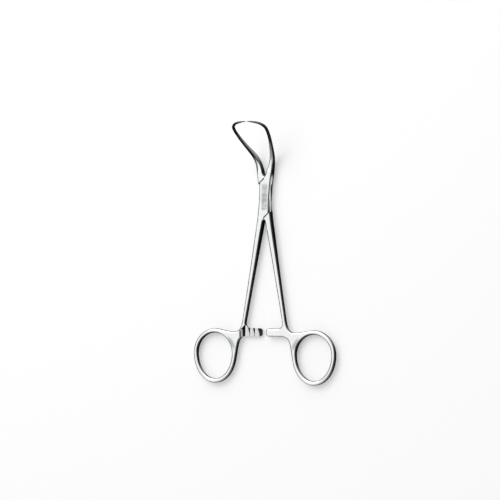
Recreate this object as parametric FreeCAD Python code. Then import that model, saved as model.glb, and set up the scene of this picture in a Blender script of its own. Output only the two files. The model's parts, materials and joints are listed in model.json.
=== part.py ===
import FreeCAD, Part
import math
import os

# Ring-handled towel clamp with a box lock, lying on its back.
# X points to the right-hand ring, Y from the rings to the tips, Z up, away from the table.
# The origin is on the pivot, in the flat back face of the box lock. All sizes are millimetres.
# The female half has the slotted box, the right jaw and the left ring. The male half has the
# tenon, the left jaw and the right ring. Both are drawn at rest, just before the tips meet.

Vec = FreeCAD.Vector

# Box lock
box_thickness = 4.5          # back face to front face
box_half_width = 3.45        # pivot to the side of the box
shoulder_side_y = 8.8        # where a shoulder meets the side of the box
shoulder_notch_y = 12.0      # where a shoulder meets the notch between the jaws
notch_wall_x = 0.2           # wall of the notch, from the centre line
slot_thickness = 2.0         # slot through the box, for the tenon
slot_radius = 9.3            # turned end walls of the slot, about the pivot
face_clearance = 0.05        # tenon to each wall of the slot
turn_clearance = 0.1         # tenon to the turned end walls, and shoulder to shoulder when shut
closing_angle = 1.5          # degrees from rest to shut
shoulder_chamfer = 0.3       # broken edges of the shoulders
edge_radius = 1.0            # rounded long edges of both halves

# Pivot pin, riveted into two countersinks and ground flush
pin_radius = 1.35
pin_clearance = 0.04         # pin to the hole in the tenon
pin_head_radius = 1.85
pin_head_depth = 0.5

# Jaws: they leave the box lock, bend up out of the plane of the handles and bow outwards.
# A length along a jaw is measured on its centre line, from the jaw root.
jaw_root_x = 3.42
jaw_root_y = 15.8
jaw_root_width = 3.95
jaw_lean = 10.3              # degrees outwards at the root
jaw_bend_angle = 46.0        # degrees out of the plane of the handles
jaw_bend_reach = 7.5         # either end of the bend to the corner that it rounds off
jaw_bow_x = 11.4             # widest place of the centre line
jaw_bow_length = 33.0        # jaw root to the base of the hook
jaw_bow_width = 1.75
jaw_bow_thickness = 1.65
jaw_width_easing = 3.0       # the higher, the sooner a jaw slims after its root
jaw_thickness_easing = 1.9
jaw_pull = 0.29              # share of the bow's length over which its ends stay straight
jaw_sections = 10            # sections of the loft, from the root to the base of the hook

# Hooks: thin and pointed, curving in until the tips almost meet
hook_rise = 6.4              # base of the hook to its tip, along the jaw
tip_half_gap = 0.7           # tip to the centre line at rest
tip_width = 0.5
tip_thickness = 0.5
hook_base_pull = 0.67        # share of the rise over which the hook stays straight at its base
hook_tip_pull = 0.58         # share of the reach over which it stays straight at its tip
hook_roundness = 0.4         # radius of the long edges over the thickness of the hook
hook_sections = 7

# Shanks
shank_root_x = 3.5
shank_root_y = 17.5
shank_root_width = 3.9
shank_end_x = 14.0           # where the shank runs into the ratchet arm and the ring
shank_end_y = 74.5
shank_end_width = 2.5

# The handles thin down along the shanks, on the front and on the back alike
ring_thickness = 3.0         # of the rings and the ratchet arms
slope_start_pull = 9.0       # how far the slope holds back next to the box lock
slope_end_pull = 36.0        # how far ahead of the rings it levels out

# Finger rings: egg-shaped holes, blunter towards the shank
ring_x = 35.1
ring_y = 95.3                # widest line of the hole
ring_hole_half_width = 12.4
ring_hole_near = 12.5        # widest line to the end of the hole near the shank
ring_hole_far = 15.7         # widest line to the far end of the hole
ring_wire = 2.65             # metal round the hole, seen from above

# Ratchet arms: the handle's inner half only, with saw teeth facing the other arm
arm_near_y = 79.6            # edge of the arm nearer to the pivot
arm_width = 4.9
arm_end_x = 1.65             # end of the arm, from the centre line
arm_corner_radius = 1.6
arm_root_radius = 3.0
tooth_count = 3
tooth_pitch = 3.45
tooth_height = 1.1
tooth_crest = 0.5            # flat top of a tooth
tooth_lead = 1.2             # plain lead-in at the end of the arm

# Recess in each handle that takes the end of the other arm, with a pointed-arch wall
pocket_side_x = 15.7
pocket_apex_x = 12.6
pocket_apex_y = 76.9
pocket_far_y = 85.6

mid_z = box_thickness / 2
away = 2 * ring_y            # length that takes a cutter past the end of the clamp

up = Vec(0, 1, 0)
out_of_plane = Vec(0, 0, 1)


def heading(degrees):
    """Plan direction that leans so many degrees to the right of straight up."""
    return Vec(math.sin(math.radians(degrees)), math.cos(math.radians(degrees)), 0)


def direction(start, end):
    return (end - start).normalize()


def flow(start, start_dir, start_pull, end, end_dir, end_pull):
    """Smooth edge that leaves start along start_dir and reaches end along end_dir."""
    curve = Part.BezierCurve()
    curve.setPoles([start, start + start_dir * start_pull, end - end_dir * end_pull, end])
    return curve.toShape()


def rounded_corner(before, corner, after, radius):
    """Arc that rounds a corner, with its two ends."""
    back = direction(corner, before)
    on = direction(corner, after)
    half_angle = back.getAngle(on) / 2
    bisector = (back + on).normalize()
    start = corner + back * (radius / math.tan(half_angle))
    end = corner + on * (radius / math.tan(half_angle))
    middle = corner + bisector * (radius / math.sin(half_angle) - radius)
    return start, Part.Arc(start, middle, end).toShape(), end


def block(corners, low_z, high_z):
    """Straight-sided block on a plan polygon."""
    points = [Vec(x, y, low_z) for x, y in corners]
    face = Part.Face(Part.makePolygon(points + points[:1]))
    return face.extrude(Vec(0, 0, high_z - low_z))


def turned(shape, degrees):
    """Copy turned about the pivot, as one half turns on the other."""
    copy = shape.copy()
    copy.rotate(Vec(0, 0, 0), out_of_plane, degrees)
    return copy


def turned_over(shape):
    """Copy turned over about the long axis, as one half lies against the other."""
    copy = shape.copy()
    copy.rotate(Vec(0, 0, mid_z), up, 180)
    return copy


def egg_radius(near, far_end, degrees):
    return near if math.sin(math.radians(degrees)) > 0 else far_end


def egg_point(half_width, near, far_end, degrees):
    """Point on the egg outline of the left ring, and the direction of travel there."""
    turn = math.radians(degrees)
    height = egg_radius(near, far_end, degrees)
    point = Vec(-ring_x + half_width * math.cos(turn), -ring_y + height * math.sin(turn), 0)
    return point, Vec(-half_width * math.sin(turn), height * math.cos(turn), 0).normalize()


def egg_arc(half_width, near, far_end, first, last):
    """Piece of the egg outline, on one side of its widest line."""
    height = egg_radius(near, far_end, (first + last) / 2)
    centre = Vec(-ring_x, -ring_y, 0)
    quarter = 90 if height > half_width else 0
    long_way = heading(90 - quarter)
    short_way = out_of_plane.cross(long_way)
    long_radius = max(height, half_width)
    short_radius = min(height, half_width)
    ellipse = Part.Ellipse(centre + long_way * long_radius, centre + short_way * short_radius, centre)
    start = math.radians(first - quarter)
    end = math.radians(last - quarter)
    return Part.ArcOfEllipse(ellipse, start, end).toShape()


def jaw_root_corners():
    """Inner and outer corner of the section where the jaw leaves the box."""
    outwards = heading(90 + jaw_lean)
    centre = Vec(jaw_root_x, jaw_root_y, 0)
    reach = outwards * (jaw_root_width / 2)
    return centre - reach, centre + reach


def box_edges(shank_outer, outer_dir, shank_inner, inner_dir):
    """The S-shaped strip from the shank to the jaw root. Each side runs straight past the
    pivot; one goes on to the outside of jaw or shank, the other rolls over into the notch."""
    jaw_inner, jaw_outer = jaw_root_corners()
    jaw_dir = heading(jaw_lean)
    notch_dir = heading(2 * jaw_lean)
    waist_y = shoulder_side_y - edge_radius
    waist = Vec(-box_half_width, waist_y, 0)
    crotch = Vec(notch_wall_x + edge_radius / 2, shoulder_notch_y + 2 * edge_radius, 0)
    roll = shoulder_notch_y - waist_y
    notch_pull = (jaw_root_y - crotch.y) / 2
    return [
        flow(shank_outer, outer_dir, waist_y, waist, up, waist_y),
        flow(waist, up, roll, crotch, notch_dir, notch_pull),
        flow(crotch, notch_dir, notch_pull / 2, jaw_inner, jaw_dir, notch_pull),
        Part.makeLine(jaw_inner, jaw_outer),
        flow(jaw_outer, -jaw_dir, waist_y, -waist, -up, waist_y),
        flow(-waist, -up, roll, -crotch, -notch_dir, notch_pull),
        flow(-crotch, -notch_dir, notch_pull / 2, shank_inner, inner_dir, notch_pull),
    ]


def arm_edges(shank_inner, inner_dir, arm_root):
    """Inner side of the shank and round the ratchet arm to its far root."""
    drop = (shank_inner.y + arm_near_y) / -inner_dir.y
    near_root = shank_inner + inner_dir * drop
    near_corner = Vec(-arm_end_x, -arm_near_y, 0)
    far_corner = Vec(-arm_end_x, arm_root.y, 0)
    root = rounded_corner(shank_inner, near_root, near_corner, arm_root_radius)
    near = rounded_corner(near_root, near_corner, far_corner, arm_corner_radius)
    far = rounded_corner(near_corner, far_corner, arm_root, arm_corner_radius)
    return [
        Part.makeLine(shank_inner, root[0]), root[1],
        Part.makeLine(root[2], near[0]), near[1],
        Part.makeLine(near[2], far[0]), far[1],
        Part.makeLine(far[2], arm_root),
    ]


def ring_edges(arm_root, shank_end, outer_dir):
    """Outside of the ring, drawn in from the arm and out again to the shank."""
    egg = (ring_hole_half_width + ring_wire, ring_hole_near + ring_wire, ring_hole_far + ring_wire)
    inner_join = -15
    outer_join = 80
    low, low_dir = egg_point(*egg, inner_join)
    top, top_dir = egg_point(*egg, outer_join)
    return [
        flow(arm_root, Vec(-1, 0, 0), ring_hole_near / 2, low, -low_dir, ring_hole_far * 2 / 3),
        egg_arc(*egg, 180, 360 + inner_join),
        egg_arc(*egg, outer_join, 180),
        flow(top, -top_dir, ring_hole_half_width, shank_end, outer_dir, arm_width * 2),
    ]


def handle_face():
    """Plan of one half from its ring to its jaw root, with the finger hole."""
    root = Vec(-shank_root_x, -shank_root_y, 0)
    end = Vec(-shank_end_x, -shank_end_y, 0)
    along = direction(end, root)
    inwards = along.cross(out_of_plane)
    outer_root = root - inwards * (shank_root_width / 2)
    outer_end = end - inwards * (shank_end_width / 2)
    inner_root = root + inwards * (shank_root_width / 2)
    inner_end = end + inwards * (shank_end_width / 2)
    outer_dir = direction(outer_end, outer_root)
    inner_dir = direction(inner_root, inner_end)
    arm_root = Vec(inner_end.x, -arm_near_y - arm_width, 0)
    edges = box_edges(outer_root, outer_dir, inner_root, inner_dir)
    edges += arm_edges(inner_root, inner_dir, arm_root)
    edges += ring_edges(arm_root, outer_end, outer_dir)
    edges.append(Part.makeLine(outer_end, outer_root))
    hole = (ring_hole_half_width, ring_hole_near, ring_hole_far)
    hole_edges = [egg_arc(*hole, 0, 180), egg_arc(*hole, 180, 360)]
    outline = Part.Wire(Part.__sortEdges__(edges))
    hole_outline = Part.Wire(Part.__sortEdges__(hole_edges))
    return Part.makeFace([outline, hole_outline], "Part::FaceMakerBullseye")


def side_slab():
    """Everything between the front and back faces: flat along the box lock and again along the
    rings, with a slope between them that is steepest next to the box."""
    thinning = (box_thickness - ring_thickness) / 2

    def side_point(y, z):
        return Vec(-away, y, z)

    def slope(start_z, end_z):
        start = side_point(-shank_root_y, start_z)
        end = side_point(-shank_end_y, end_z)
        return flow(start, -up, slope_start_pull, end, -up, slope_end_pull)

    corners = [
        side_point(-away, ring_thickness + thinning), side_point(-away, thinning),
        side_point(away, 0), side_point(away, box_thickness),
    ]
    front = slope(box_thickness, ring_thickness + thinning)
    back = slope(0, thinning)
    profile = Part.Wire([
        Part.makeLine(corners[3], front.Vertexes[0].Point), front,
        Part.makeLine(front.Vertexes[-1].Point, corners[0]),
        Part.makeLine(corners[0], corners[1]),
        Part.makeLine(corners[1], back.Vertexes[-1].Point), back,
        Part.makeLine(back.Vertexes[0].Point, corners[2]),
        Part.makeLine(corners[2], corners[3]),
    ])
    return Part.Face(profile).extrude(Vec(2 * away, 0, 0))


def long_edges(solid):
    """Edges along the front and back faces, but not those of the cut jaw root."""
    inner, outer = jaw_root_corners()
    root_line = Part.makeLine(inner, outer)
    chosen = []
    for edge in solid.Edges:
        heights = [vertex.Z - mid_z for vertex in edge.Vertexes]
        crosses = min(heights) < 0 < max(heights)
        middle = edge.valueAt((edge.FirstParameter + edge.LastParameter) / 2)
        on_root = root_line.distToShape(Part.Vertex(Vec(middle.x, middle.y, 0)))[0] < face_clearance
        if not crosses and not on_root:
            chosen.append(edge)
    return chosen


def tooth_space():
    """Space above the saw teeth of the left arm. Each tooth rises away from the end of the arm
    and drops off steeply on the shank side, so that the other arm's teeth catch behind it."""
    root_z = mid_z - tooth_height / 2
    crest_z = mid_z + tooth_height / 2
    start_y = -pocket_apex_y + arm_width
    points = [Vec(away, start_y, root_z)]
    x = -arm_end_x - tooth_lead
    for _ in range(tooth_count):
        points.append(Vec(x, start_y, root_z))
        x -= tooth_pitch
        points.append(Vec(x + tooth_crest, start_y, crest_z))
        points.append(Vec(x, start_y, crest_z))
    points.append(Vec(x, start_y, root_z))
    points += [Vec(-away, start_y, root_z), Vec(-away, start_y, away), Vec(away, start_y, away)]
    face = Part.Face(Part.makePolygon(points + points[:1]))
    return face.extrude(Vec(0, -pocket_far_y - arm_width - start_y, 0))


def pocket_plan():
    """Plan of the recess over the arm: open past the arm's end and sides, arched at the shank."""
    half_arch = pocket_side_x - pocket_apex_x
    past_arm_y = -arm_near_y + edge_radius
    far_y = -pocket_far_y
    open_x = pocket_apex_x - (arm_near_y - edge_radius - pocket_apex_y)
    return [
        (0, far_y - arm_width), (half_arch - pocket_side_x, far_y - arm_width),
        (half_arch - pocket_side_x, far_y), (edge_radius - pocket_side_x, far_y),
        (-pocket_side_x, far_y + edge_radius), (-pocket_side_x, -pocket_apex_y - half_arch),
        (-pocket_apex_x, -pocket_apex_y), (-open_x, past_arm_y), (0, past_arm_y),
    ]


def ratchet_cut():
    return block(pocket_plan(), -away, away).common(tooth_space())


def handle():
    """One half from its ring to its jaw root, before the lock is cut: left ring, right jaw."""
    blank = handle_face().extrude(Vec(0, 0, box_thickness)).common(side_slab())
    rounded = blank.makeFillet(edge_radius, long_edges(blank))
    return rounded.cut(ratchet_cut())


def jaw_bend():
    """The bend in side view. Three of its five points lie on the straight line at each end, so
    it starts and ends without a step in its curvature."""
    bent = math.radians(jaw_bend_angle)
    root = Vec(0, jaw_root_y, mid_z)
    corner = root + up * jaw_bend_reach
    end = corner + Vec(0, math.cos(bent), math.sin(bent)) * jaw_bend_reach
    bend = Part.BezierCurve()
    bend.setPoles([root, (root + corner) / 2, corner, (corner + end) / 2, end])
    return bend


def jaw_place(bend, length):
    """Where a jaw has got to at a length along its centre line, and its ways along and across."""
    straight = max(length - bend.length(), 0)
    at = bend.parameterAtDistance(length - straight, bend.FirstParameter)
    along = bend.tangent(at)[0]
    across = Vec(1, 0, 0).cross(along)
    return bend.value(at) + along * straight, along, across


def jaw_section(bend, flat_point, flat_dir, width, thickness, radius):
    """Rounded rectangle square to the centre line of the right jaw. The centre line is given
    flat, as distance from the clamp's centre line and length along the jaw."""
    place, along, across = jaw_place(bend, flat_point.y)
    centre = place + Vec(flat_point.x, 0, 0)
    outwards = Vec(flat_dir.y, 0, 0) - along * flat_dir.x
    flat_half = width / 2 - radius
    tall_half = thickness / 2 - radius
    edges = []
    for turn in range(4):
        cos, sin = round(math.cos(turn * math.pi / 2)), round(math.sin(turn * math.pi / 2))

        def point(u, v):
            return centre + outwards * (u * cos - v * sin) + across * (u * sin + v * cos)

        side, top = (flat_half, tall_half) if turn % 2 == 0 else (tall_half, flat_half)
        diagonal = radius * math.sqrt(0.5)
        edges.append(Part.makeLine(point(side + radius, -top), point(side + radius, top)))
        corner = Part.Arc(point(side + radius, top), point(side + diagonal, top + diagonal),
                          point(side, top + radius))
        edges.append(corner.toShape())
    return Part.Wire(edges)


def jaw():
    """Right jaw with its hook, one smooth loft from the box lock to the tip."""
    root = Vec(jaw_root_x, 0, 0)
    bow = Vec(jaw_bow_x, jaw_bow_length, 0)
    tip = Vec(tip_half_gap, jaw_bow_length + hook_rise, 0)
    tip_dir = direction(Vec(jaw_bow_x, -tip_width, 0), Vec(0, 0, 0))
    bow_pull = jaw_bow_length * jaw_pull
    base_pull = hook_rise * hook_base_pull
    tip_pull = (jaw_bow_x - tip_half_gap) * hook_tip_pull
    arm = Part.BezierCurve()
    arm.setPoles([root, root + heading(jaw_lean) * bow_pull, bow - up * bow_pull, bow])
    hook = Part.BezierCurve()
    hook.setPoles([bow, bow + up * base_pull, tip - tip_dir * tip_pull, tip])
    root_roundness = edge_radius / jaw_root_width
    bend = jaw_bend()
    sections = []
    for step in range(jaw_sections):
        at = step / jaw_sections
        point = arm.value(at)
        left = 1 - point.y / jaw_bow_length
        width = jaw_bow_width + (jaw_root_width - jaw_bow_width) * left ** jaw_width_easing
        extra = (box_thickness - jaw_bow_thickness) * left ** jaw_thickness_easing
        roundness = hook_roundness + (root_roundness - hook_roundness) * left
        thickness = jaw_bow_thickness + extra
        radius = roundness * min(width, thickness)
        sections.append(jaw_section(bend, point, arm.tangent(at)[0], width, thickness, radius))
    for step in range(hook_sections + 1):
        at = step / hook_sections
        width = jaw_bow_width - (jaw_bow_width - tip_width) * at ** 2
        thickness = jaw_bow_thickness - (jaw_bow_thickness - tip_thickness) * at ** 2
        radius = hook_roundness * min(width, thickness)
        point = hook.value(at)
        sections.append(jaw_section(bend, point, hook.tangent(at)[0], width, thickness, radius))
    return Part.makeLoft(sections, True, False)


def drum(radius, low_z, high_z):
    """Cylinder about the pivot."""
    return Part.makeCylinder(radius, high_z - low_z, Vec(0, 0, low_z), out_of_plane)


def both_ends(cutters):
    """Cutters for the jaw end of the lock, with their copies for the shank end."""
    return cutters + [turned(cutter, 180) for cutter in cutters]


def shoulder():
    """The two ends of a shoulder, at the side of the box and at the notch, and the way it runs."""
    side = Vec(-box_half_width, shoulder_side_y, 0)
    notch = Vec(notch_wall_x, shoulder_notch_y, 0)
    return side, notch, direction(side, notch)


def broken_edges(side, notch):
    """Wedges that chamfer a shoulder, on the front face and on the back."""
    along = direction(side, notch)
    across = along.cross(out_of_plane) * (2 * shoulder_chamfer)
    start = side - along * (2 * edge_radius)
    wedges = []
    for face_z, outwards in ((box_thickness, out_of_plane), (0, -out_of_plane)):
        bottom = start + out_of_plane * face_z - outwards * shoulder_chamfer
        top = bottom + outwards * (2 * shoulder_chamfer)
        corners = [bottom, top + across, top - across, bottom]
        wedges.append(Part.Face(Part.makePolygon(corners)).extrude(notch - start))
    return wedges


def female_lock(body):
    """Cut the room for the other half's jaw and shank, and the slot for its tenon."""
    side, notch, along = shoulder()
    low = side - along * jaw_root_y
    room = block([(notch_wall_x, shoulder_notch_y), (low.x, low.y), (low.x, away),
                  (notch_wall_x, away)], -away, away)
    slot_low = mid_z - slot_thickness / 2
    slot_high = mid_z + slot_thickness / 2
    neck_room = block([(notch_wall_x, 0), (notch_wall_x, jaw_root_y), (-jaw_root_y, jaw_root_y),
                       (-jaw_root_y, 0)], slot_low, slot_high)
    cutters = [room, neck_room] + broken_edges(side, notch)
    return body.cut(both_ends(cutters) + [drum(slot_radius, slot_low, slot_high)])


def male_lock(body):
    """Thin the middle to the tenon, turn its ends and clear the notch. The shoulders stand off
    the other half's by the travel that is left before the clamp is shut."""
    side, notch, along = shoulder()
    stand_off = along.cross(out_of_plane) * -turn_clearance
    first = side + stand_off - along * jaw_root_y
    last = side + stand_off + along * jaw_root_y
    band = [(first.x, first.y), (last.x, last.y), (-first.x, -first.y), (-last.x, -last.y)]
    tenon_low = mid_z - slot_thickness / 2 + face_clearance
    tenon_high = mid_z + slot_thickness / 2 - face_clearance
    faces = [block(band, -away, tenon_low), block(band, tenon_high, away)]
    wall_x = notch_wall_x - turn_clearance
    beside = block([(wall_x, 0), (jaw_root_y, 0), (jaw_root_y, jaw_root_y), (wall_x, jaw_root_y)],
                   -away, away)
    corner = beside.cut(drum(slot_radius - turn_clearance, -away, away))
    hole = drum(pin_radius + pin_clearance, -away, away)
    shut_cuts = faces + both_ends([corner] + broken_edges(side + stand_off, notch + stand_off))
    return body.cut([turned(cutter, closing_angle) for cutter in shut_cuts] + [hole])


def pivot_pin():
    """Straight pin with a cone at each end, flush with the faces of the box."""
    half = [
        Vec(0, 0, 0), Vec(pin_head_radius, 0, 0), Vec(pin_radius, 0, pin_head_depth),
        Vec(pin_radius, 0, box_thickness - pin_head_depth), Vec(pin_head_radius, 0, box_thickness),
        Vec(0, 0, box_thickness),
    ]
    face = Part.Face(Part.makePolygon(half + half[:1]))
    return face.revolve(Vec(0, 0, 0), out_of_plane, 360)


def joined(body, jaw_shape):
    return body.fuse(jaw_shape).removeSplitter()


def female_half():
    return joined(female_lock(handle()), jaw()).cut(pivot_pin())


def male_half():
    return joined(male_lock(turned_over(handle())), jaw().mirror(Vec(0, 0, 0), Vec(1, 0, 0)))


pieces = {
    "female_half": female_half(),
    "male_half": male_half(),
    "pivot_pin": pivot_pin(),
}

os.makedirs("parts", exist_ok=True)
for name, shape in pieces.items():
    print(name, "valid", shape.isValid(), "solids", len(shape.Solids), "volume", round(shape.Volume, 2))
    shape.exportStep("parts/" + name + ".step")
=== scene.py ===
# %% [markdown]
# A towel clamp is a small locking forceps that pins surgical drapes together. It is two steel
# forgings that cross in a box lock, and one rivet. All three are rigid, so their shapes are
# ready before this lesson starts. What is left is what a photographer and a polisher do:
# frame the clamp as a catalogue does, light it, and give the steel its finish.
#
# The first cell loads the finished shapes. They stay where they are and are never edited.
# `MM` turns millimetres into Blender's metres, so every size below can be read on a ruler.

import json
import math

import bpy
from mathutils import Matrix, Vector

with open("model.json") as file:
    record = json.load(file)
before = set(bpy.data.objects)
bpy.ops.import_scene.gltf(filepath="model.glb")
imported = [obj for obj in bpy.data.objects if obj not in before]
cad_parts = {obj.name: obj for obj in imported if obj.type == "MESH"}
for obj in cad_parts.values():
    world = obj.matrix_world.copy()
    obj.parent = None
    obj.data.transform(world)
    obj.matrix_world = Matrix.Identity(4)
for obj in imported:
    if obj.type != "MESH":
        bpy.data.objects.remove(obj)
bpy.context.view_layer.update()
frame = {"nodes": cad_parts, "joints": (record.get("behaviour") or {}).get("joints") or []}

MM = 0.001
hinge = frame["joints"][0]
pivot = Vector(hinge["pos_m"])
print("Pieces:", ", ".join(sorted(frame["nodes"])))
print("The halves turn about", [round(value / MM, 2) for value in pivot], "mm")

# %% [markdown]
# The picture to match is seen from above and a little from the right: the right-hand side
# faces of the limbs show as narrow bands, and the jaws, which rise from the table, swing to
# the left. How far they swing gives the angle, 31 degrees off the vertical. The clamp also
# leans by less than half a degree in the frame.
#
# A camera could be placed by eye and then aimed with a Track To constraint. Here its three
# axes are worked out instead, because then one known point, the rivet, can be put on its exact
# spot in the frame. A long lens far away keeps the two rings the same size, as a catalogue
# drawing does.

# %% Camera
FRAME_PIXELS = 500
PIXELS_PER_MM = 1.6375
PIVOT_PIXEL = (265.5, 198.0)
TILT = math.radians(31.0)
LEAN = math.radians(0.43)
LENS_MM = 240.0
SENSOR_MM = 36.0
SEE_AS_FAR_AS = 100.0


def camera_axes():
    """The picture's right and up and the way back to the camera, in the clamp's own frame."""
    back = Vector((math.sin(TILT), 0.0, math.cos(TILT)))
    level = Vector((math.cos(TILT), 0.0, -math.sin(TILT)))
    along = Vector((0.0, 1.0, 0.0))
    right = level * math.cos(LEAN) + along * math.sin(LEAN)
    up = along * math.cos(LEAN) - level * math.sin(LEAN)
    return right, up, back


def place_camera():
    right, up, back = camera_axes()
    off_right = (FRAME_PIXELS / 2 - PIVOT_PIXEL[0]) / PIXELS_PER_MM * MM
    off_up = (PIVOT_PIXEL[1] - FRAME_PIXELS / 2) / PIXELS_PER_MM * MM
    middle = pivot + right * off_right + up * off_up
    frame_width = FRAME_PIXELS / PIXELS_PER_MM * MM
    distance = frame_width * LENS_MM / SENSOR_MM
    lens = bpy.data.cameras.new("catalogue_camera")
    lens.lens = LENS_MM
    lens.sensor_width = SENSOR_MM
    lens.clip_end = SEE_AS_FAR_AS
    camera = bpy.data.objects.new("catalogue_camera", lens)
    turn = Matrix((right, up, back)).transposed().to_4x4()
    camera.matrix_world = Matrix.Translation(middle + back * distance) @ turn
    bpy.context.scene.collection.objects.link(camera)
    bpy.context.scene.camera = camera
    return distance


camera_distance = place_camera()
bpy.context.scene.view_settings.view_transform = "Standard"
print(f"Camera {camera_distance:.2f} m away, frame {FRAME_PIXELS / PIXELS_PER_MM:.0f} mm wide")

# %% [markdown]
# Every finish below is a tree of nodes. In the window the nodes are placed and joined by
# hand; here a few short helpers do it. `plug` links a socket or sets a number, so a tree can
# be written almost like a formula, and each helper hands back the socket that holds its
# result.

# %% Helpers for node trees
MIX_SOCKETS = {"FLOAT": "Float", "VECTOR": "Vector", "RGBA": "Color"}


def add_node(tree, kind, **settings):
    node = tree.nodes.new(kind)
    for name, value in settings.items():
        setattr(node, name, value)
    return node


def plug(tree, value, socket):
    """Link a socket, or set a number, a vector or a colour."""
    if isinstance(value, bpy.types.NodeSocket):
        tree.links.new(value, socket)
    else:
        socket.default_value = value


def add_math(tree, operation, first, second=0.0, clamp=False):
    node = add_node(tree, "ShaderNodeMath", operation=operation, use_clamp=clamp)
    plug(tree, first, node.inputs[0])
    plug(tree, second, node.inputs[1])
    return node.outputs[0]


def product(tree, first, *others):
    """All the values multiplied together."""
    for value in others:
        first = add_math(tree, "MULTIPLY", first, value)
    return first


def add_ramp(tree, value, low, high, to_low=0.0, to_high=1.0):
    """A smooth step of a value between two limits. The first may be the larger."""
    if low > high:
        low, high, to_low, to_high = high, low, to_high, to_low
    ramp = add_node(tree, "ShaderNodeMapRange", interpolation_type="SMOOTHSTEP")
    limits = {"From Min": low, "From Max": high, "To Min": to_low, "To Max": to_high}
    for name, number in limits.items():
        ramp.inputs[name].default_value = number
    plug(tree, value, ramp.inputs["Value"])
    return ramp.outputs["Result"]


def add_mix(tree, kind, factor, first, second):
    """Blend of two numbers, vectors or colours."""
    node = add_node(tree, "ShaderNodeMix", data_type=kind)
    label = MIX_SOCKETS[kind]
    sockets = {socket.identifier: socket for socket in node.inputs}
    plug(tree, factor, sockets["Factor_Float"])
    plug(tree, first, sockets["A_" + label])
    plug(tree, second, sockets["B_" + label])
    return next(socket for socket in node.outputs if socket.identifier == "Result_" + label)


def new_material(name):
    """A node material, its tree emptied but for the output."""
    material = bpy.data.materials.new(name)
    material.use_nodes = True
    tree = material.node_tree
    tree.nodes.clear()
    return material, tree, add_node(tree, "ShaderNodeOutputMaterial")


print("Helpers ready for", ", ".join(sorted(MIX_SOCKETS)), "blends")

# %% [markdown]
# The clamp lies on a plain white table. A table this size could be a cube, but only its top
# can ever be seen, so one plane does. It is white card: a matt surface that keeps the clamp's
# soft shadow. A little light of its own, seen only by the camera and by shiny or clear
# things, lifts it to the white of printed paper, and the steel mirrors that same white.

# %% Table
TABLE_SIZE = 6.0
CARD_COLOUR = (0.80, 0.80, 0.80, 1.0)
CARD_LIFT = 0.29


def seen_rays(tree):
    """1 for what the camera sees, straight or mirrored in something shiny or clear."""
    path = add_node(tree, "ShaderNodeLightPath")
    mirrored = path.outputs["Is Glossy Ray"]
    through = path.outputs["Is Transmission Ray"]
    shiny = add_math(tree, "ADD", mirrored, through)
    return add_math(tree, "ADD", path.outputs["Is Camera Ray"], shiny, clamp=True)


def white_card():
    material, tree, output = new_material("white_card")
    matt = add_node(tree, "ShaderNodeBsdfDiffuse")
    matt.inputs["Color"].default_value = CARD_COLOUR
    glow = add_node(tree, "ShaderNodeEmission")
    plug(tree, product(tree, seen_rays(tree), CARD_LIFT), glow.inputs["Strength"])
    both = add_node(tree, "ShaderNodeAddShader")
    plug(tree, matt.outputs[0], both.inputs[0])
    plug(tree, glow.outputs[0], both.inputs[1])
    plug(tree, both.outputs[0], output.inputs["Surface"])
    return material


bpy.ops.object.select_all(action="DESELECT")
bpy.ops.mesh.primitive_plane_add(size=TABLE_SIZE, location=(0.0, 0.0, 0.0))
table = bpy.context.object
table.name = "table"
table.data.materials.append(white_card())
print("Table:", tuple(round(size, 2) for size in table.dimensions), "m")

# %% [markdown]
# Polished steel has hardly any colour of its own: it shows the room. So the room is what
# makes the drawing's black and white. Its light comes from the upper left, and its dark
# bands lie on every face that turns to the lower right. The world below does the same. It is
# pale where a direction points to the upper left and falls to dark towards the lower right.
#
# A photographer also stands a black card low on the left, just out of the frame. A pale
# instrument would melt into pale paper there. The card's reflection draws a thin dark line
# along each left edge. Here it is a dark patch of the same sky, so it can never get in the way
# of another view. A grey wall behind the rings lifts the fronts of the jaws a little, and it
# keeps the steel from going black when the clamp is walked round.

# %% Room
PALE_WAY = Vector((-0.72, 0.62, 0.30)).normalized()
ROOM_PALE = 1.32
ROOM_DARK = 0.05
DARK_ENDS = -0.14
PALE_STARTS = 0.26
BLACK_CARD_WAY = (-1.0, 0.0, 0.0)
BLACK_CARD_EDGE = (0.78, 0.90)
BLACK_CARD_TOP = (0.62, 0.44)
GREY_WALL_WAY = Vector((0.12, -0.98, 0.12)).normalized()
GREY_WALL_EDGE = (0.60, 0.80)
GREY_WALL = 0.45


def along_way(tree, direction, way):
    """How far a direction points one way: 1 straight along it, 0 across it."""
    facing = add_node(tree, "ShaderNodeVectorMath", operation="DOT_PRODUCT")
    plug(tree, direction, facing.inputs[0])
    plug(tree, way, facing.inputs[1])
    return facing.outputs["Value"]


def light_the_room():
    world = bpy.data.worlds.new("studio")
    bpy.context.scene.world = world
    world.use_nodes = True
    tree = world.node_tree
    tree.nodes.clear()
    output = add_node(tree, "ShaderNodeOutputWorld")
    background = add_node(tree, "ShaderNodeBackground")
    sky = add_node(tree, "ShaderNodeTexCoord").outputs["Generated"]
    height = add_node(tree, "ShaderNodeSeparateXYZ")
    plug(tree, sky, height.inputs[0])
    pale = add_ramp(tree, along_way(tree, sky, PALE_WAY), DARK_ENDS, PALE_STARTS)
    to_left = add_ramp(tree, along_way(tree, sky, BLACK_CARD_WAY), *BLACK_CARD_EDGE)
    low = add_ramp(tree, height.outputs["Z"], *BLACK_CARD_TOP)
    beside_card = add_math(tree, "SUBTRACT", 1.0, product(tree, to_left, low))
    lit = product(tree, pale, beside_card)
    behind = along_way(tree, sky, GREY_WALL_WAY)
    wall = add_ramp(tree, behind, *GREY_WALL_EDGE, 0.0, GREY_WALL)
    lit = add_math(tree, "MAXIMUM", lit, wall)
    level = add_mix(tree, "FLOAT", lit, ROOM_DARK, ROOM_PALE)
    plug(tree, level, background.inputs["Strength"])
    plug(tree, background.outputs[0], output.inputs["Surface"])


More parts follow.
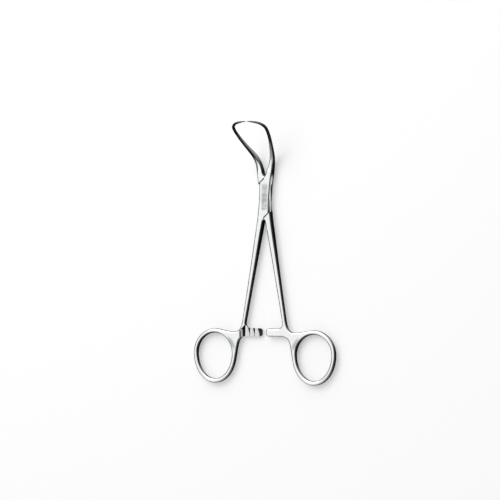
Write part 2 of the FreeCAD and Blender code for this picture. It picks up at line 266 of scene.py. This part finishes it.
light_the_room()
print("Room: pale at", ROOM_PALE, "dark at", ROOM_DARK)

# %% [markdown]
# One large softbox hangs at the upper left and gives the clamp a soft shadow on its right,
# and a weak one fills from behind. Area lamps are used because steel mirrors them as broad
# white shapes, where a point lamp would be a hard dot. A lamp's power is worked out from how
# bright it should look in the steel, so its size can be changed without changing that.

# %% Softboxes
KEY_WAY = Vector((-0.45, 0.62, 0.80))
KEY_DISTANCE = 1.1
KEY_SIZE = 0.7
KEY_BRIGHTNESS = 2.3
FILL_WAY = Vector((0.10, 0.75, 0.60))
FILL_DISTANCE = 1.4
FILL_SIZE = 0.7
FILL_BRIGHTNESS = 0.5


def hang_softbox(name, way, distance, size, brightness):
    """A square lamp facing the clamp, which shows in steel at the given brightness."""
    lamp = bpy.data.lights.new(name, "AREA")
    lamp.shape = "SQUARE"
    lamp.size = size
    lamp.energy = brightness * math.pi * size ** 2
    box = bpy.data.objects.new(name, lamp)
    box.location = way.normalized() * distance
    box.rotation_mode = "QUATERNION"
    box.rotation_quaternion = way.to_track_quat("Z", "Y")
    bpy.context.scene.collection.objects.link(box)
    return lamp.energy


key_watts = hang_softbox("key_softbox", KEY_WAY, KEY_DISTANCE, KEY_SIZE, KEY_BRIGHTNESS)
fill_watts = hang_softbox("fill_softbox", FILL_WAY, FILL_DISTANCE, FILL_SIZE, FILL_BRIGHTNESS)
print(f"Softboxes: key {key_watts:.1f} W, fill {fill_watts:.1f} W")

# %% [markdown]
# The finish is built from node groups. A group is a tree with named sockets that several
# materials share, each with its own numbers. `new_group` starts one and `use_group` places it.
#
# Every group reads the object's own coordinates and normals. So the pattern is part of the
# piece, and turns with it when the clamp opens. Most groups ask where a point lies, so the last
# three helpers measure: the distance from a centre, a sum of two shares, and whether a value
# is within a band.

# %% Helpers for node groups
SOCKET_TYPES = {"vector": "NodeSocketVector", "number": "NodeSocketFloat"}


def new_group(name, takes, gives):
    """An empty group. `takes` maps each input's name to its type, `gives` lists the outputs."""
    group = bpy.data.node_groups.new(name, "ShaderNodeTree")
    for label, kind in takes.items():
        group.interface.new_socket(label, in_out="INPUT", socket_type=SOCKET_TYPES[kind])
    for label in gives:
        group.interface.new_socket(label, in_out="OUTPUT", socket_type="NodeSocketFloat")
    given = add_node(group, "NodeGroupInput")
    result = add_node(group, "NodeGroupOutput")
    return group, given.outputs, result.inputs


def use_group(tree, group, values):
    """Place a group in a tree, with its inputs linked or set."""
    node = add_node(tree, "ShaderNodeGroup", node_tree=group)
    for label, value in values.items():
        plug(tree, value, node.inputs[label])
    return node.outputs


def split(tree, vector):
    """The three coordinates of a vector."""
    node = add_node(tree, "ShaderNodeSeparateXYZ")
    plug(tree, vector, node.inputs[0])
    return node.outputs["X"], node.outputs["Y"], node.outputs["Z"]


def join(tree, *parts):
    """A vector from its three coordinates."""
    node = add_node(tree, "ShaderNodeCombineXYZ")
    for part, socket in zip(parts, node.inputs):
        plug(tree, part, socket)
    return node.outputs[0]


def radius_of(tree, off_x, off_y):
    """How far a point lies from a centre, from how far it is off along x and y."""
    squares = [product(tree, part, part) for part in (off_x, off_y)]
    return add_math(tree, "SQRT", add_math(tree, "ADD", *squares))


def weighed_sum(tree, first, first_share, second, second_share):
    parts = [product(tree, first, first_share), product(tree, second, second_share)]
    return add_math(tree, "ADD", *parts)


def inside(tree, value, middle, half, fade):
    """1 within half a width of the middle, fading out at the border."""
    off = add_math(tree, "ABSOLUTE", add_math(tree, "SUBTRACT", value, middle))
    return add_ramp(tree, off, half + fade, half - fade)


print("Group sockets:", ", ".join(sorted(SOCKET_TYPES)))

# %% [markdown]
# The front and back faces are polished bright. The flanks are left satin, and their colour
# carries painted shade, near black, for sides turned from the light at the upper left. Flanks
# that turn to the upper left get a share of painted light, and each left edge gets a thin band
# of painted shade as an outline.
#
# Faces and flanks can be told apart by the normal, the way that the surface looks. Its upright
# part is 1 or -1 on a face and 0 on a flank. A smooth step between the two follows the rounded
# edges by itself, so nothing has to be painted or selected.

# %% Faces and flanks of the handles
FLANK_BELOW = 0.34
FACE_ABOVE = 0.93
# Painted shade darkens the flanks and each left edge; flanks that turn to the upper left get a
# share of painted light.
LEFT_EDGE_SHADE = 0.55
SHADED_FLANK_WAY = Vector((0.75, -0.66, 0.0)).normalized()
LIT_FLANK_LIMITS = (0.60, 0.05)
LIT_FLANK_SHARE = 0.45
UPRIGHT = (0.48, 0.20)


def handle_polish_and_shade(tree, normal):
    """1 on the polished front and back faces, 0 on the satin flanks with painted shade, in
    between where painted light falls on flanks turned to the upper left.
    """
    to_right, _, up = split(tree, normal)
    to_left = add_math(tree, "MAXIMUM", product(tree, to_right, -1.0), 0.0)
    steep = add_math(tree, "ABSOLUTE", up)
    level = add_math(tree, "SUBTRACT", steep, product(tree, to_left, LEFT_EDGE_SHADE))
    face = add_ramp(tree, level, FLANK_BELOW, FACE_ABOVE)
    # Painted light: flanks that turn away from the lower right get a lighter share.
    toward_shade = along_way(tree, normal, SHADED_FLANK_WAY)
    lit_flank = add_ramp(tree, toward_shade, *LIT_FLANK_LIMITS, 0.0, LIT_FLANK_SHARE)
    lit_upright = product(tree, lit_flank, add_ramp(tree, steep, *UPRIGHT))
    return add_math(tree, "MAXIMUM", face, lit_upright)


print("Handles: satin below", FLANK_BELOW, "and bright above", FACE_ABOVE)

# %% [markdown]
# Two more edges get painted shade, with satin roughness. One is the outer edge of the left jaw
# between the box and the bend. The other is the upper left edge of each finger hole.
#
# A normal can't tell these edges from the others, so they are found by their place. The first
# follows the jaw's own outline, a line that curves outwards by a known amount per millimetre.
# The second is a strip of a circle round the middle of the ring.

# %% Edges with painted shade
# Both edge strips below get painted shade.
OUTER_EDGE_FROM_Y = 16.0 * MM
OUTER_EDGE = (5.41 * MM, 0.115, 0.0119 / MM)
OUTER_EDGE_WIDTH = (1.9 * MM, 1.1 * MM)
OUTER_EDGE_FADE_Y = (13.5 * MM, 17.5 * MM)
OUTER_EDGE_SHADE = 0.85
RING_CENTRE = (35.1 * MM, -95.3 * MM)
HOLE_EDGE = (13.5 * MM, 12.8 * MM)
HOLE_EDGE_WAY = (-0.56, 0.83)
HOLE_EDGE_TURN = (0.35, 0.80)
HOLE_EDGE_SHADE = 0.9


def outer_edge(tree, x, y):
    """1 on the strip along the outer edge of the left jaw, found from the jaw's own curve."""
    start, slope, curve = OUTER_EDGE
    past = add_math(tree, "SUBTRACT", y, OUTER_EDGE_FROM_Y)
    steeper = add_math(tree, "ADD", product(tree, past, curve), slope)
    edge = add_math(tree, "ADD", product(tree, past, steeper), start)
    strip = add_ramp(tree, add_math(tree, "ADD", edge, x), *OUTER_EDGE_WIDTH)
    return product(tree, strip, add_ramp(tree, y, *OUTER_EDGE_FADE_Y))


def hole_edge(tree, x, y):
    """1 on the upper left edge of both finger holes."""
    middle = product(tree, add_math(tree, "SIGN", x), RING_CENTRE[0])
    from_x = add_math(tree, "SUBTRACT", x, middle)
    from_y = add_math(tree, "SUBTRACT", y, RING_CENTRE[1])
    radius = radius_of(tree, from_x, from_y)
    to_upper_left = weighed_sum(tree, from_x, HOLE_EDGE_WAY[0], from_y, HOLE_EDGE_WAY[1])
    turn = add_math(tree, "DIVIDE", to_upper_left, radius)
    strip = add_ramp(tree, radius, *HOLE_EDGE)
    return product(tree, strip, add_ramp(tree, turn, *HOLE_EDGE_TURN))


def satin_and_shaded_edges(tree, x, y):
    """How much painted shade, with satin roughness, both kinds of edge get."""
    jaw_edge = product(tree, outer_edge(tree, x, y), OUTER_EDGE_SHADE)
    ring_edge = product(tree, hole_edge(tree, x, y), HOLE_EDGE_SHADE)
    return add_math(tree, "MAXIMUM", jaw_edge, ring_edge)


print("Satin edges: finger holes", round(2 * HOLE_EDGE[1] / MM, 1), "mm across")

# %% [markdown]
# Past the bend the painted light goes by direction. The front of the jaws gets painted shade
# and satin roughness, and the sides that turn up and back, towards the light, are polished and
# get painted light. So does their underside. The thin hooks get painted shade almost all over.
# The left jaw's painted shade starts nearer to the box than the right one's.
#
# The sides of the box lock are ground flat and bright after the halves are joined. Their lower
# corner and their top edge get painted shade with satin roughness, which draws two dark lines.

# %% Jaws and sides of the box
# Jaw sides that face the light get painted light, the rest painted shade.
JAW_LIT_WAY = Vector((0.25, 0.72, 0.65)).normalized()
JAW_SHADE_BELOW = 0.20
JAW_BRIGHT_ABOVE = 0.95
JAW_SHARE = 0.80
JAW_UNDER_WAY = Vector((-0.45, 0.45, -0.77)).normalized()
JAW_UNDER = (0.10, 0.50)
JAW_UNDER_SHARE = 0.70
HOOK_SHARE = 0.15
HOOK_Y = (37.0 * MM, 43.0 * MM)
LEFT_BEND_Y = (20.0 * MM, 26.5 * MM)
RIGHT_BEND_Y = (25.0 * MM, 37.0 * MM)
BETWEEN_JAWS = (-0.5 * MM, 0.5 * MM)
BOX_SIDE_LOW_Y = (-9.5 * MM, -3.0 * MM)
BOX_SIDE_HIGH_Y = (15.0 * MM, 11.0 * MM)
# Painted shade on the box sides' lower corner and top edge.
BOX_CORNER_Z = (1.6 * MM, 2.1 * MM)
BOX_EDGE_Z = (4.1 * MM, 3.6 * MM)


def jaw_polish_and_shade(tree, normal, y):
    """Polish and painted light on the sides of the jaws that turn up and back, and on their
    underside.
    """
    facing = along_way(tree, normal, JAW_LIT_WAY)
    bright = add_ramp(tree, facing, JAW_SHADE_BELOW, JAW_BRIGHT_ABOVE)
    share = add_ramp(tree, y, *HOOK_Y, JAW_SHARE, HOOK_SHARE)
    downwards = along_way(tree, normal, JAW_UNDER_WAY)
    under = add_ramp(tree, downwards, *JAW_UNDER, 0.0, JAW_UNDER_SHARE)
    return add_math(tree, "MAXIMUM", product(tree, bright, share), under)


def past_bend(tree, x, y):
    """0 on the handles and the box, 1 on the jaws past the bend."""
    on_right = add_ramp(tree, x, *BETWEEN_JAWS)
    left = add_ramp(tree, y, *LEFT_BEND_Y)
    right = add_ramp(tree, y, *RIGHT_BEND_Y)
    return add_mix(tree, "FLOAT", on_right, left, right)


def box_side(tree, y, z):
    """1 on the ground sides of the box, between their lower corner and their top edge."""
    along = product(tree, add_ramp(tree, y, *BOX_SIDE_LOW_Y), add_ramp(tree, y, *BOX_SIDE_HIGH_Y))
    upwards = product(tree, add_ramp(tree, z, *BOX_CORNER_Z), add_ramp(tree, z, *BOX_EDGE_Z))
    return product(tree, along, upwards)


bends = [round(start / MM, 1) for start, _ in (LEFT_BEND_Y, RIGHT_BEND_Y)]
print("Jaws: satin from", bends[0], "mm on the left and", bends[1], "mm on the right")

# %% [markdown]
# One group brings the three together and hands the result on as one number. A material that
# uses it needs to know nothing of jaws, rings or boxes: by that number it blends satin roughness
# and painted shade with polish and painted light.

# %% Polish, satin and painted shade
def polish_and_shade_group():
    """1 on polished steel with painted light, 0 on satin steel with painted shade."""
    takes = {"Position": "vector", "Normal": "vector"}
    group, given, result = new_group("polish_and_shade", takes, ["Reach"])
    x, y, z = split(group, given["Position"])
    not_edge = add_math(group, "SUBTRACT", 1.0, satin_and_shaded_edges(group, x, y))
    handle = product(group, handle_polish_and_shade(group, given["Normal"]), not_edge)
    jaw = jaw_polish_and_shade(group, given["Normal"], y)
    limbs = add_mix(group, "FLOAT", past_bend(group, x, y), handle, jaw)
    reach = add_math(group, "MAXIMUM", limbs, box_side(group, y, z))
    plug(group, reach, result["Reach"])
    return group


polish_and_shade = polish_and_shade_group()
print("Group:", polish_and_shade.name, [socket.name for socket in polish_and_shade.interface.items_tree])

# %% [markdown]
# The wheel leaves lines a tenth of a millimetre apart that run the way the piece was pushed
# along it: down the shanks, round the finger rings and up the bent jaws. A straight brushed
# pattern would cross the rings and look wrong there.
#
# So the group first lays the piece out flat. Across the limb it measures from the limb's own
# middle line, round a ring it measures the radius, and past the bend it takes off the rise of
# the jaw. Then one noise texture, stretched fifty times along the limb, draws the lines.

# %% Polishing lines
RING_STARTS_Y = (-77.0 * MM, -84.0 * MM)
RING_RADIUS = 17.55 * MM
SHANK_SPREAD = 0.184
JAW_BEND_Y = 22.2 * MM
JAW_RISE = math.tan(math.radians(46.0))
FINE_LINES = (9000.0, 180.0, 9000.0)
FINE_DETAIL = 2.0
BROAD_STREAKS = (1100.0, 45.0, 1100.0)
BROAD_DETAIL = 3.0


def laid_flat(tree, position):
    """Coordinates that run across the limb, along it and through its thickness."""
    x, y, z = split(tree, position)
    side = add_math(tree, "ABSOLUTE", x)
    behind = product(tree, add_math(tree, "MINIMUM", y, 0.0), SHANK_SPREAD)
    past = add_math(tree, "MAXIMUM", add_math(tree, "SUBTRACT", y, JAW_BEND_Y), 0.0)
    rise = product(tree, past, JAW_RISE)
    across = add_math(tree, "ADD", side, behind)
    limb = join(tree, across, y, add_math(tree, "SUBTRACT", z, rise))

    from_x = add_math(tree, "SUBTRACT", side, RING_CENTRE[0])
    from_y = add_math(tree, "SUBTRACT", y, RING_CENTRE[1])
    round_it = product(tree, add_math(tree, "ARCTAN2", from_y, from_x), RING_RADIUS)
    ring = join(tree, radius_of(tree, from_x, from_y), round_it, z)
    on_ring = add_ramp(tree, y, *RING_STARTS_Y)
    return add_mix(tree, "VECTOR", on_ring, limb, ring)


def stretched_noise(tree, place, stretch, detail):
    """Noise whose grains are one over the stretch long each way. Detail roughens them."""
    stretched = add_node(tree, "ShaderNodeVectorMath", operation="MULTIPLY")
    plug(tree, place, stretched.inputs[0])
    plug(tree, stretch, stretched.inputs[1])
    noise = add_node(tree, "ShaderNodeTexNoise")
    noise.inputs["Scale"].default_value = 1.0
    noise.inputs["Detail"].default_value = detail
    plug(tree, stretched.outputs[0], noise.inputs["Vector"])
    return noise.outputs[0]


def polishing_lines_group():
    """Fine lines and broad streaks that follow each limb."""
    group, given, result = new_group("polishing_lines", {"Position": "vector"}, ["Fine", "Broad"])
    flat = laid_flat(group, given["Position"])
    plug(group, stretched_noise(group, flat, FINE_LINES, FINE_DETAIL), result["Fine"])
    plug(group, stretched_noise(group, flat, BROAD_STREAKS, BROAD_DETAIL), result["Broad"])
    return group


polishing_lines = polishing_lines_group()
print("Group:", polishing_lines.name, "fine lines", round(1 / FINE_LINES[0] / MM, 2), "mm apart")

# %% [markdown]
# No hand-held face is truly flat. A forging that was ground and buffed by hand is wavy by a
# few hundredths of a millimetre, which shows as slow ripples in what it mirrors. It also
# carries faint smears from gloves, and hairline scratches from the other instruments in the
# tray.
#
# Ripples could be modelled, but a Bump node tilts the reflection just as well and costs
# nothing. The scratches are two very thin noises that lie at different angles, cut off so
# that only their peaks are left.

# %% Hand work and use
RIPPLE_GRAIN = (120.0, 120.0, 120.0)
RIPPLE_DETAIL = 1.0
SMEAR_GRAIN = (55.0, 55.0, 55.0)
SMEAR_DETAIL = 4.0
SMEAR_LEVELS = (0.50, 0.68)
SCRATCH_STRETCH = (9000.0, 150.0, 900.0)
SCRATCH_DETAIL = 0.0
SCRATCH_TURNS = (math.radians(27.0), math.radians(-38.0))
SCRATCH_PEAK = (0.76, 0.80)


def hand_work_group():
    """Ripples of the hand-ground faces, smears of handling and hairline scratches."""
    gives = ["Ripple", "Smear", "Scratch"]
    group, given, result = new_group("hand_work", {"Position": "vector"}, gives)
    ripple = stretched_noise(group, given["Position"], RIPPLE_GRAIN, RIPPLE_DETAIL)
    smear = stretched_noise(group, given["Position"], SMEAR_GRAIN, SMEAR_DETAIL)
    scratches = []
    for turn in SCRATCH_TURNS:
        turned = add_node(group, "ShaderNodeVectorRotate", rotation_type="Z_AXIS")
        plug(group, given["Position"], turned.inputs["Vector"])
        plug(group, turn, turned.inputs["Angle"])
        noise = stretched_noise(group, turned.outputs[0], SCRATCH_STRETCH, SCRATCH_DETAIL)
        scratches.append(add_ramp(group, noise, *SCRATCH_PEAK))
    plug(group, ripple, result["Ripple"])
    plug(group, add_ramp(group, smear, *SMEAR_LEVELS), result["Smear"])
    plug(group, add_math(group, "MAXIMUM", *scratches), result["Scratch"])
    return group


hand_work = hand_work_group()
print("Group:", hand_work.name, "ripples", round(1 / RIPPLE_GRAIN[0] / MM, 1), "mm long")

# %% [markdown]
# The riveted box lock was surfaced once more after polishing: a grey satin panel lies down
# the middle of its face, over the rivet, with short marks that run across. And where each ring
# grows out of its shank, the hollow gets a patch of painted shade, with satin roughness.
#
# A mask could be painted by hand. Here each one is made from distances in millimetres, so
# it has clean, soft borders at any size.

# %% Satin panel and painted shade in the hollows
PANEL_MIDDLE = (0.6 * MM, 0.6 * MM)
PANEL_HALF = (2.0 * MM, 8.0 * MM)
PANEL_FADE = 0.7 * MM
PANEL_FACE = (0.84, 0.90)
PANEL_MARKS = (420.0, 7000.0, 420.0)
MARKS_DETAIL = 1.0
PANEL_WASH = (260.0, 420.0, 260.0)
WASH_DETAIL = 2.0
EACH_SHARE = 0.5
# The ring hollows below get painted shade.
HOLLOW_MIDDLE = (22.6 * MM, -88.9 * MM)
HOLLOW_WAY = (-0.535, -0.845)
HOLLOW_REACH = (5.6 * MM, 2.0 * MM)


def panel_mask(tree, x, y):
    """1 on the panel down the middle of the box."""
    wide = inside(tree, x, PANEL_MIDDLE[0], PANEL_HALF[0], PANEL_FADE)
    long = inside(tree, y, PANEL_MIDDLE[1], PANEL_HALF[1], PANEL_FADE)
    return product(tree, wide, long)


def hollow_mask(tree, x, y):
    """1 in the middle of a long oval where each ring grows out of its shank."""
    side = add_math(tree, "SUBTRACT", add_math(tree, "ABSOLUTE", x), HOLLOW_MIDDLE[0])
    down = add_math(tree, "SUBTRACT", y, HOLLOW_MIDDLE[1])
    along = weighed_sum(tree, side, HOLLOW_WAY[0], down, HOLLOW_WAY[1])
    across = weighed_sum(tree, side, -HOLLOW_WAY[1], down, HOLLOW_WAY[0])
    shares = [add_math(tree, "DIVIDE", part, reach)
              for part, reach in zip((along, across), HOLLOW_REACH)]
    spread = add_math(tree, "ADD", *[product(tree, part, part) for part in shares])
    return add_ramp(tree, spread, 1.0, 0.0)


def satin_panel_and_shade_group():
    """The satin panel of the box lock with its cross marks, and the painted shade in the ring
    hollows.
    """
    takes = {"Position": "vector", "Normal": "vector"}
    group, given, result = new_group("satin_panel_and_shade", takes, ["Panel", "Marks", "Hollow"])
    x, y, _ = split(group, given["Position"])
    face = add_math(group, "ABSOLUTE", split(group, given["Normal"])[2])
    flat = add_ramp(group, face, *PANEL_FACE)
    marks = stretched_noise(group, given["Position"], PANEL_MARKS, MARKS_DETAIL)
    wash = stretched_noise(group, given["Position"], PANEL_WASH, WASH_DETAIL)
    both = product(group, add_math(group, "ADD", marks, wash), EACH_SHARE)
    plug(group, product(group, panel_mask(group, x, y), flat), result["Panel"])
    plug(group, both, result["Marks"])
    plug(group, product(group, hollow_mask(group, x, y), flat), result["Hollow"])
    return group


satin_panel_and_shade = satin_panel_and_shade_group()
print("Group:", satin_panel_and_shade.name, "panel", 2 * PANEL_HALF[1] / MM, "mm long")

# %% [markdown]
# The ratchet teeth and the pocket beside them are milled, and no wheel gets into them. Their
# roots are rough and get painted shade, near black, as recesses in shadow, while the tooth tops
# stay bright. The end wall of the pocket is kept out of the flanks' painted shade, and the rim
# over that wall gets painted shade again.
#
# The group measures how far a point lies out from the middle of the arm's thickness. The two
# halves face opposite ways, so each material tells the group which way is out of the teeth.
# Lean is a height for the Bump node. It grows towards the foot of the end wall, which tips the
# wall's reflection up to the pale sky.

# %% Ratchet roots
# Painted shade in the ratchet roots and on the pocket's rim.
RATCHET_MIDDLE = (8.6 * MM, -81.6 * MM)
RATCHET_HALF = (7.6 * MM, 5.2 * MM)
RATCHET_FADE = 0.3 * MM
MIDDLE_HEIGHT = 2.25 * MM
ROOT_DEPTH = 0.58 * MM
ROOT_CLEAR = 0.06 * MM
ROOT_LEVELS = (-0.08 * MM, -0.34 * MM)
NEAR_EDGE_Y = (-83.6 * MM, -79.4 * MM)
NEAR_EDGE_WIDER = 0.36 * MM
RIM_MIDDLE = (16.6 * MM, -83.2 * MM)
RIM_HALF = (0.45 * MM, 2.2 * MM)
RIM_FADE_Y = 0.6 * MM
RIM_HEIGHT = (1.2 * MM, 1.4 * MM)
WALL_MIDDLE = (15.7 * MM, -82.7 * MM)
WALL_HALF = (0.3 * MM, 2.6 * MM)
WALL_FADE_X = 0.15 * MM
WALL_LEAN = 3.2


def root_mask(tree, side, y, height):
    """1 between the teeth and in the pocket, 0 on the tooth tops and the arm's back."""
    wide = inside(tree, side, RATCHET_MIDDLE[0], RATCHET_HALF[0], RATCHET_FADE)
    long = inside(tree, y, RATCHET_MIDDLE[1], RATCHET_HALF[1], RATCHET_FADE)
    wider = add_ramp(tree, y, *NEAR_EDGE_Y, 0.0, NEAR_EDGE_WIDER)
    low = add_ramp(tree, add_math(tree, "SUBTRACT", height, wider), *ROOT_LEVELS)
    not_back = add_ramp(tree, height, -ROOT_DEPTH - 2 * ROOT_CLEAR, -ROOT_DEPTH)
    return product(tree, wide, long, low, not_back)


def rim_mask(tree, side, y, height):
    """1 on the rim of the pocket over its end wall."""
    across = inside(tree, side, RIM_MIDDLE[0], RIM_HALF[0], RATCHET_FADE)
    along = inside(tree, y, RIM_MIDDLE[1], RIM_HALF[1], RIM_FADE_Y)
    return product(tree, across, along, add_ramp(tree, height, *RIM_HEIGHT))


def wall_mask(tree, side, y, height):
    """1 on the end wall of the pocket, above its floor."""
    across = inside(tree, side, WALL_MIDDLE[0], WALL_HALF[0], WALL_FADE_X)
    along = inside(tree, y, WALL_MIDDLE[1], WALL_HALF[1], RATCHET_FADE)
    above = add_ramp(tree, height, -ROOT_DEPTH + ROOT_CLEAR, -ROOT_DEPTH + 2 * ROOT_CLEAR)
    return product(tree, across, along, above)


def ratchet_roots_group():
    """Root is 1 where the ratchet gets painted shade, Wall on the pocket's end wall, Lean tips
    the wall.
    """
    takes = {"Position": "vector", "Outwards": "number"}
    group, given, result = new_group("ratchet_roots", takes, ["Root", "Wall", "Lean"])
    x, y, z = split(group, given["Position"])
    side = add_math(group, "ABSOLUTE", x)
    from_middle = add_math(group, "SUBTRACT", z, MIDDLE_HEIGHT)
    height = product(group, from_middle, given["Outwards"])
    root = root_mask(group, side, y, height)
    root = add_math(group, "MAXIMUM", root, rim_mask(group, side, y, height))
    wall = wall_mask(group, side, y, height)
    below = add_math(group, "SUBTRACT", MIDDLE_HEIGHT, height)
    plug(group, root, result["Root"])
    plug(group, wall, result["Wall"])
    plug(group, product(group, below, wall, WALL_LEAN / MM), result["Lean"])
    return group


ratchet_roots = ratchet_roots_group()
print("Group:", ratchet_roots.name, "roots", ROOT_DEPTH / MM, "mm below the middle")

# %% [markdown]
# The rivet was headed over and then ground down until it is flush with the box. All that shows
# of it, from close by, is a hairline where it meets the box and the faint rings left by
# turning. Both are made from the distance to its axis, which runs through the origin. The
# hairline belongs to the box as much as to the rivet, so both pieces get it.

# %% Rivet
RIVET_RADIUS = 1.85 * MM
HAIRLINE = (0.09 * MM, 0.03 * MM)
TURNED_RINGS = (6000.0, 1.0, 200.0)
TURNED_BANDS = (1500.0, 1.0, 200.0)
TURNED_DETAIL = 1.0


def rivet_joint_group():
    """1 on the hairline between the rivet's head and the box."""
    group, given, result = new_group("rivet_joint", {"Position": "vector"}, ["Hairline"])
    x, y, _ = split(group, given["Position"])
    off = add_math(group, "SUBTRACT", radius_of(group, x, y), RIVET_RADIUS)
    line = add_ramp(group, add_math(group, "ABSOLUTE", off), *HAIRLINE)
    plug(group, line, result["Hairline"])
    return group


def turned_lines_group():
    """Fine rings and broader bands round the rivet's axis."""
    group, given, result = new_group("turned_lines", {"Position": "vector"}, ["Fine", "Broad"])
    x, y, z = split(group, given["Position"])
    rings = join(group, radius_of(group, x, y), 0.0, z)
    plug(group, stretched_noise(group, rings, TURNED_RINGS, TURNED_DETAIL), result["Fine"])
    plug(group, stretched_noise(group, rings, TURNED_BANDS, TURNED_DETAIL), result["Broad"])
    return group


rivet_joint = rivet_joint_group()
turned_lines = turned_lines_group()
print("Groups:", rivet_joint.name, "and", turned_lines.name, "radius", RIVET_RADIUS / MM, "mm")

# %% [markdown]
# Now the groups come together in the steel. It is fully metallic, so its base colour is what
# it mirrors with: nearly white where polished, and in between on the panel. Painted shade makes
# it near black on the flanks, the satin edges and the ratchet roots, and grey in the ring
# hollows. The same masks set the roughness, which says how sharp the mirror is. Ripples, lines
# and marks go through one Bump node, as heights in millimetres.
#
# The shader's own Specular Tint is the colour of a metal where it is seen at a grazing angle.
# A dark one is painted shade: it darkens the rim of each limb into a thin outline and leaves
# the faces as they are.
#
# One function makes all the finishes. The halves differ only in which way their teeth face,
# and the rivet has turned lines. The satin panel was ground over box and rivet together, so
# both have it.

# %% Steel
BRIGHT = (0.865, 0.872, 0.880, 1.0)
STREAKED = (0.800, 0.808, 0.818, 1.0)
# Painted shade: near black on the flanks and edges turned from the light.
FLANK_SHADE = (0.016, 0.017, 0.019, 1.0)
PANEL_LIGHT = (0.600, 0.610, 0.620, 1.0)
PANEL_DARK = (0.340, 0.346, 0.355, 1.0)
# Painted shade in the ring hollows.
HOLLOW_SHADE = (0.480, 0.487, 0.497, 1.0)
# Painted shade in the ratchet roots and on the pocket's rim.
ROOT_SHADE = (0.035, 0.034, 0.033, 1.0)
# The pocket's end wall, left out of the painted shade.
UNSHADED_WALL = (0.860, 0.865, 0.870, 1.0)
SMEARED = (0.760, 0.764, 0.768, 1.0)
# Painted shade on the grazing rim of each limb, as an outline.
OUTLINE_SHADE_TINT = (0.25, 0.25, 0.26, 1.0)
SMEAR_SHARE = 0.5
MARK_LEVELS = (0.40, 0.60)
STREAK_LEVELS = (0.38, 0.66)
HAIRLINE_DARK = (0.120, 0.118, 0.115, 1.0)
HAIRLINE_SHARE = 0.6
ROUGH_BRIGHT = 0.16
ROUGH_FLANK = 0.36
ROUGH_PANEL = 0.40
ROUGH_ROOT = 0.55
ROUGH_LINES = 0.05
ROUGH_SMEAR = 0.08
ROUGH_SCRATCH = 0.08
RIPPLE_HEIGHT = 0.030
LINE_HEIGHT = 0.0008
MARK_HEIGHT = 0.002
SCRATCH_HEIGHT = 0.0008


def add_shares(tree, value, shares):
    """A value with a share of each mask added to it."""
    for mask, amount in shares:
        value = add_math(tree, "ADD", value, product(tree, mask, amount))
    return value


def steel_finish(name, teeth_out, line_group):
    material, tree, output = new_material(name)
    steel = add_node(tree, "ShaderNodeBsdfPrincipled")
    steel.inputs["Metallic"].default_value = 1.0
    steel.inputs["Specular Tint"].default_value = OUTLINE_SHADE_TINT
    place = add_node(tree, "ShaderNodeTexCoord")
    here = {"Position": place.outputs["Object"]}
    here_facing = {"Position": place.outputs["Object"], "Normal": place.outputs["Normal"]}
    reach = use_group(tree, polish_and_shade, here_facing)["Reach"]
    lines = use_group(tree, line_group, here)
    work = use_group(tree, hand_work, here)
    satin = use_group(tree, satin_panel_and_shade, here_facing)
    ratchet = use_group(tree, ratchet_roots, {**here, "Outwards": teeth_out})
    root = ratchet["Root"]
    hairline = product(tree, use_group(tree, rivet_joint, here)["Hairline"], HAIRLINE_SHARE)

    streak = add_ramp(tree, lines["Broad"], *STREAK_LEVELS)
    marks = add_ramp(tree, satin["Marks"], *MARK_LEVELS)
    smear = product(tree, work["Smear"], SMEAR_SHARE)
    colour = add_mix(tree, "RGBA", streak, STREAKED, BRIGHT)
    colour = add_mix(tree, "RGBA", smear, colour, SMEARED)
    colour = add_mix(tree, "RGBA", satin["Hollow"], colour, HOLLOW_SHADE)
    panel_colour = add_mix(tree, "RGBA", marks, PANEL_DARK, PANEL_LIGHT)
    colour = add_mix(tree, "RGBA", satin["Panel"], colour, panel_colour)
    colour = add_mix(tree, "RGBA", hairline, colour, HAIRLINE_DARK)
    # Painted shade: near black where the polish mask is 0, and in the ratchet roots.
    colour = add_mix(tree, "RGBA", reach, FLANK_SHADE, colour)
    colour = add_mix(tree, "RGBA", ratchet["Wall"], colour, UNSHADED_WALL)
    colour = add_mix(tree, "RGBA", root, colour, ROOT_SHADE)
    plug(tree, colour, steel.inputs["Base Color"])

    rough = add_mix(tree, "FLOAT", reach, ROUGH_FLANK, ROUGH_BRIGHT)
    rough = add_mix(tree, "FLOAT", satin["Panel"], rough, ROUGH_PANEL)
    rough = add_mix(tree, "FLOAT", satin["Hollow"], rough, ROUGH_PANEL)
    rough = add_mix(tree, "FLOAT", root, rough, ROUGH_ROOT)
    rough = add_shares(tree, rough, ((lines["Fine"], ROUGH_LINES), (smear, ROUGH_SMEAR),
                                     (work["Scratch"], ROUGH_SCRATCH)))
    plug(tree, rough, steel.inputs["Roughness"])

    marked = product(tree, satin["Marks"], satin["Panel"])
    height = add_shares(tree, ratchet["Lean"], (
        (work["Ripple"], RIPPLE_HEIGHT), (lines["Fine"], LINE_HEIGHT),
        (marked, MARK_HEIGHT), (work["Scratch"], -SCRATCH_HEIGHT)))
    bump = add_node(tree, "ShaderNodeBump")
    bump.inputs["Distance"].default_value = MM
    plug(tree, height, bump.inputs["Height"])
    plug(tree, bump.outputs[0], steel.inputs["Normal"])
    plug(tree, steel.outputs[0], output.inputs["Surface"])
    return material


finishes = {
    "female_half": steel_finish("steel_teeth_up", 1.0, polishing_lines),
    "male_half": steel_finish("steel_teeth_down", -1.0, polishing_lines),
    "pivot_pin": steel_finish("rivet_steel", 1.0, turned_lines),
}
for name, finish in finishes.items():
    frame["nodes"][name].material_slots[0].material = finish
    print(name, "wears", finish.name)
